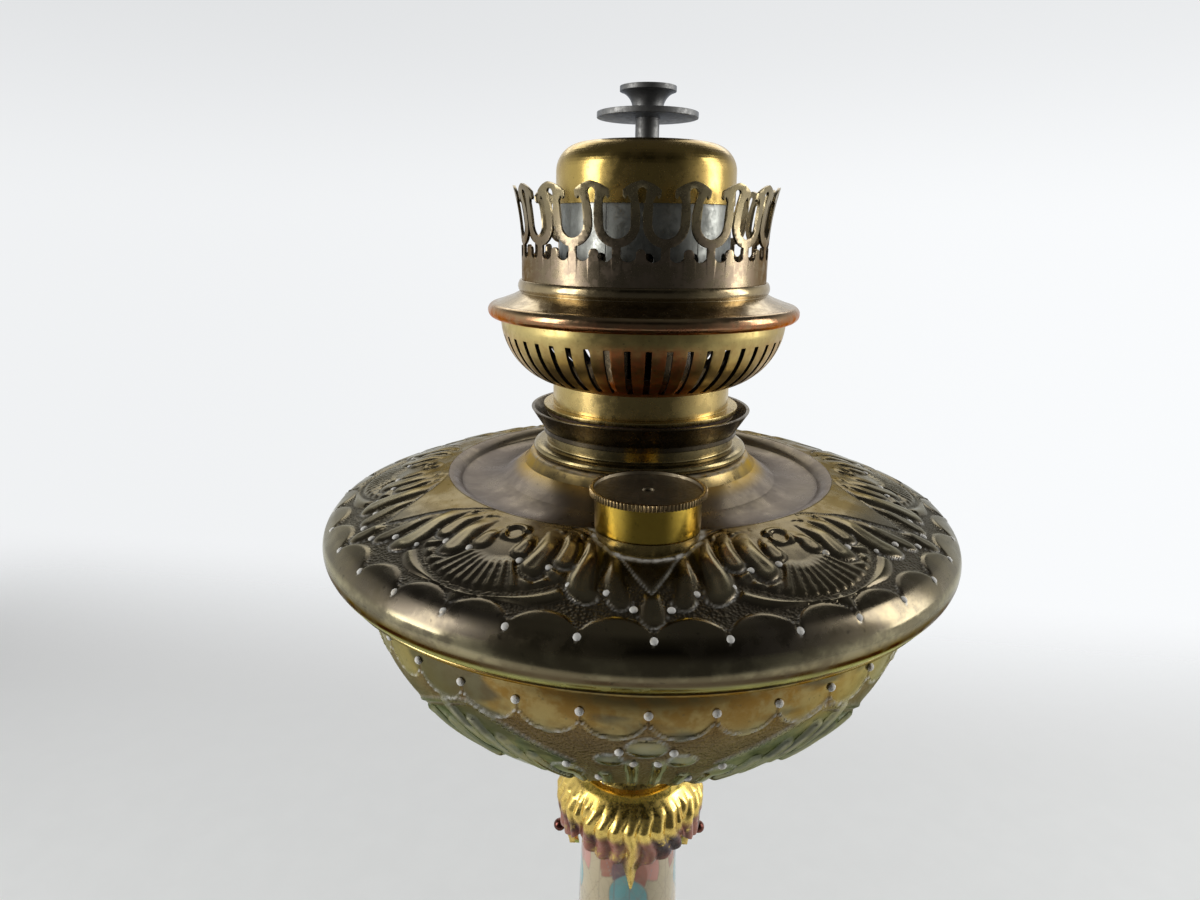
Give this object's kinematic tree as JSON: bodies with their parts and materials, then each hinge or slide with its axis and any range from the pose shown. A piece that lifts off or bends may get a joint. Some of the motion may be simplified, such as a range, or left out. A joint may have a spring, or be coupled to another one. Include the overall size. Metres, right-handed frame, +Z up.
{
  "type": "paraffin table lamp on a column",
  "caption": "Old paraffin table lamp: weighted round foot, ceramic column with a leaf capital, embossed metal font, screw filler cap and round-wick burner with a pierced gallery.",
  "frame": {"origin": "on the table, under the lamp's axis", "axes": "+Z up the lamp, -Y towards the filler at the front, +X to the right"},
  "size_m": [0.147, 0.147, 0.4186],
  "materials": {
    "foot_brass": "spun brass, patinated",
    "plate_steel": "pressed sheet steel",
    "cast_weight": "rough cast iron",
    "rod_steel": "turned steel",
    "gilt": "gilt cast brass",
    "glazed_column": "painted glaze over cream earthenware",
    "copper_screw": "coppered round head",
    "font_bronze": "dark bronzed embossed brass",
    "bowl_bronze": "bronzed embossed brass",
    "burner_brass": "polished brass",
    "cap_brass": "polished brass",
    "basket_brass": "brass with a copper-red heat tint",
    "gallery_copper": "heat-browned brass",
    "crown_brass": "brass with a violet heat tint",
    "dome_brass": "brass with heat stains",
    "dark_brass": "tarnished brass",
    "sleeve_zinc": "dull tinned sheet",
    "spreader_iron": "scaled iron",
    "wick_cotton": "woven cotton wick",
    "leather_seal": "oiled leather"
  },
  "bodies": {
    "stand": {"foot_shell": "foot_brass", "foot_plate": "plate_steel", "foot_weight": "cast_weight", "tie_rod": "rod_steel", "tie_rod_nut": "rod_steel", "tie_rod_washer": "rod_steel", "column_cup": "gilt", "column_shaft": "glazed_column", "capital": "gilt", "capital_screws": "copper_screw", "font_boss": "gilt", "font_bowl": "bowl_bronze", "font_top": "font_bronze", "font_collar": "burner_brass", "drip_ring": "dark_brass", "filler_neck": "burner_brass"},
    "burner_gasket": {"burner_gasket": "leather_seal"},
    "burner": {"burner_base": "burner_brass", "burner_basket": "basket_brass", "wick_tube": "dark_brass", "draught_tube": "dark_brass", "spreader_socket": "dark_brass", "winder_bracket": "dark_brass", "winder_bush": "burner_brass"},
    "wick": {"wick": "wick_cotton"},
    "winder": {"winder_shaft": "rod_steel", "winder_gears": "dark_brass", "winder_knob": "burner_brass"},
    "gallery": {"gallery_plate": "gallery_copper", "gallery_crown": "crown_brass", "air_plate": "gallery_copper", "dome_sleeve": "sleeve_zinc", "burner_dome": "dome_brass"},
    "spreader": {"spreader_stem": "spreader_iron", "spreader_disc": "spreader_iron", "spreader_button": "spreader_iron"},
    "cap_washer": {"filler_washer": "leather_seal"},
    "filler_cap": {"filler_cap": "cap_brass"}
  },
  "joints": [
    {"name": "burner_lift", "type": "slide", "parent": "stand", "child": "burner_gasket", "axis": [0, 0, 1], "range_m": [0, 0.00721]},
    {"name": "burner_turn", "type": "hinge", "parent": "burner_gasket", "child": "burner", "pos_m": [0, 0, 0.3488], "axis": [0, 0, 1], "range_deg": [0, 1440]},
    {"name": "wick_winder", "type": "hinge", "parent": "burner", "child": "winder", "pos_m": [0.0131, 0, 0.3524], "axis": [0, 1, 0], "range_deg": [-198, 99]},
    {"name": "wick_slide", "type": "slide", "parent": "burner", "child": "wick", "axis": [0, 0, 1], "range_m": [-0.008, 0.004]},
    {"name": "gallery_lift", "type": "slide", "parent": "burner", "child": "gallery", "axis": [0, 0, 1], "range_m": [0, 0.055]},
    {"name": "spreader_lift", "type": "slide", "parent": "burner", "child": "spreader", "axis": [0, 0, 1], "range_m": [0, 0.03]},
    {"name": "cap_lift", "type": "slide", "parent": "stand", "child": "cap_washer", "axis": [0, 0, 1], "range_m": [0, 0.00451]},
    {"name": "cap_turn", "type": "hinge", "parent": "cap_washer", "child": "filler_cap", "pos_m": [0, -0.0435, 0.34], "axis": [0, 0, 1], "range_deg": [0, 1080]}
  ],
  "couplings": [
    {"joint": "burner_lift", "follows": "burner_turn", "m_per_rad": 0.00028648},
    {"joint": "wick_slide", "follows": "wick_winder", "m_per_rad": 0.0023},
    {"joint": "cap_lift", "follows": "cap_turn", "m_per_rad": 0.00023873}
  ]
}
